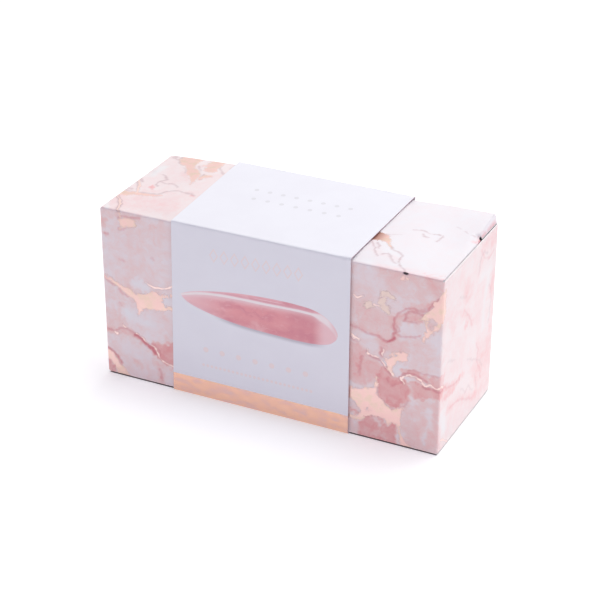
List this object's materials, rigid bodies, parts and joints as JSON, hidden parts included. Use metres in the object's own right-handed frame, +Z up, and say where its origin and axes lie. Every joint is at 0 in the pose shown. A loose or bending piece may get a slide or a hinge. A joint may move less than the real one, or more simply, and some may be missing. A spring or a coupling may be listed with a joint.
{
  "type": "boxed gua sha wand",
  "caption": "Rose quartz gua sha wand in a foam cradle, inside a marbled tuck-end carton with a white slide-off sleeve.",
  "frame": {"origin": "centre of the base on which the boxed set stands, under the sleeve", "axes": "+X along the carton towards the end nearer the camera side, -Y out of the long front panel with the wand picture, +Z up"},
  "size_m": [0.2, 0.0782, 0.1045],
  "materials": {
    "carton_board": "satin",
    "sleeve_board": "satin",
    "platform_board": "matte",
    "foam": "matte",
    "rose_quartz": "polished"
  },
  "bodies": {
    "carton": {"carton_front_panel": "carton_board", "carton_back_panel": "carton_board", "carton_top_panel": "carton_board", "carton_bottom_panel": "carton_board", "carton_glue_lap": "carton_board", "platform_deck": "platform_board", "platform_front_leg": "platform_board", "platform_back_leg": "platform_board", "foam_cradle": "foam"},
    "sleeve": {"sleeve_front_panel": "sleeve_board", "sleeve_back_panel": "sleeve_board", "sleeve_top_panel": "sleeve_board", "sleeve_bottom_panel": "sleeve_board", "sleeve_glue_lap": "sleeve_board"},
    "wand": {"gua_sha_wand": "rose_quartz"},
    "right_closure": {"right_closure_panel": "carton_board"},
    "right_tuck": {"right_tuck_flap": "carton_board"},
    "right_top_dust": {"right_top_dust_flap": "carton_board"},
    "right_bottom_dust": {"right_bottom_dust_flap": "carton_board"},
    "left_closure": {"left_closure_panel": "carton_board"},
    "left_tuck": {"left_tuck_flap": "carton_board"},
    "left_top_dust": {"left_top_dust_flap": "carton_board"},
    "left_bottom_dust": {"left_bottom_dust_flap": "carton_board"}
  },
  "joints": [
    {"name": "sleeve_slide", "type": "slide", "parent": "carton", "child": "sleeve", "axis": [-1, 0, 0], "range_m": [0, 0.16]},
    {"name": "wand_lift", "type": "slide", "parent": "carton", "child": "wand", "axis": [0, 0, 1], "range_m": [0, 0.027]},
    {"name": "right_closure_hinge", "type": "hinge", "parent": "carton", "child": "right_closure", "pos_m": [0.0994, -0.0374, 0.0516], "axis": [0, 0, -1], "range_deg": [0, 135]},
    {"name": "right_tuck_crease", "type": "hinge", "parent": "right_closure", "child": "right_tuck", "pos_m": [0.0994, 0.0365, 0.0516], "axis": [0, 0, -1], "range_deg": [0, 48]},
    {"name": "right_top_dust_crease", "type": "hinge", "parent": "carton", "child": "right_top_dust", "pos_m": [0.09855, 0, 0.102], "axis": [0, -1, 0], "range_deg": [0, 82]},
    {"name": "right_bottom_dust_crease", "type": "hinge", "parent": "carton", "child": "right_bottom_dust", "pos_m": [0.09855, 0, 0.0012], "axis": [0, 1, 0], "range_deg": [0, 82]},
    {"name": "left_closure_hinge", "type": "hinge", "parent": "carton", "child": "left_closure", "pos_m": [-0.0994, -0.0374, 0.0516], "axis": [0, 0, 1], "range_deg": [0, 135]},
    {"name": "left_tuck_crease", "type": "hinge", "parent": "left_closure", "child": "left_tuck", "pos_m": [-0.0994, 0.0365, 0.0516], "axis": [0, 0, 1], "range_deg": [0, 48]},
    {"name": "left_top_dust_crease", "type": "hinge", "parent": "carton", "child": "left_top_dust", "pos_m": [-0.09855, 0, 0.102], "axis": [0, 1, 0], "range_deg": [0, 82]},
    {"name": "left_bottom_dust_crease", "type": "hinge", "parent": "carton", "child": "left_bottom_dust", "pos_m": [-0.09855, 0, 0.0012], "axis": [0, -1, 0], "range_deg": [0, 82]}
  ],
  "couplings": [
    {"joint": "right_tuck_crease", "follows": "right_closure_hinge", "ratio": 0.35},
    {"joint": "right_top_dust_crease", "follows": "right_closure_hinge", "ratio": 0.6},
    {"joint": "right_bottom_dust_crease", "follows": "right_closure_hinge", "ratio": 0.6},
    {"joint": "left_tuck_crease", "follows": "left_closure_hinge", "ratio": 0.35},
    {"joint": "left_top_dust_crease", "follows": "left_closure_hinge", "ratio": 0.6},
    {"joint": "left_bottom_dust_crease", "follows": "left_closure_hinge", "ratio": 0.6}
  ]
}
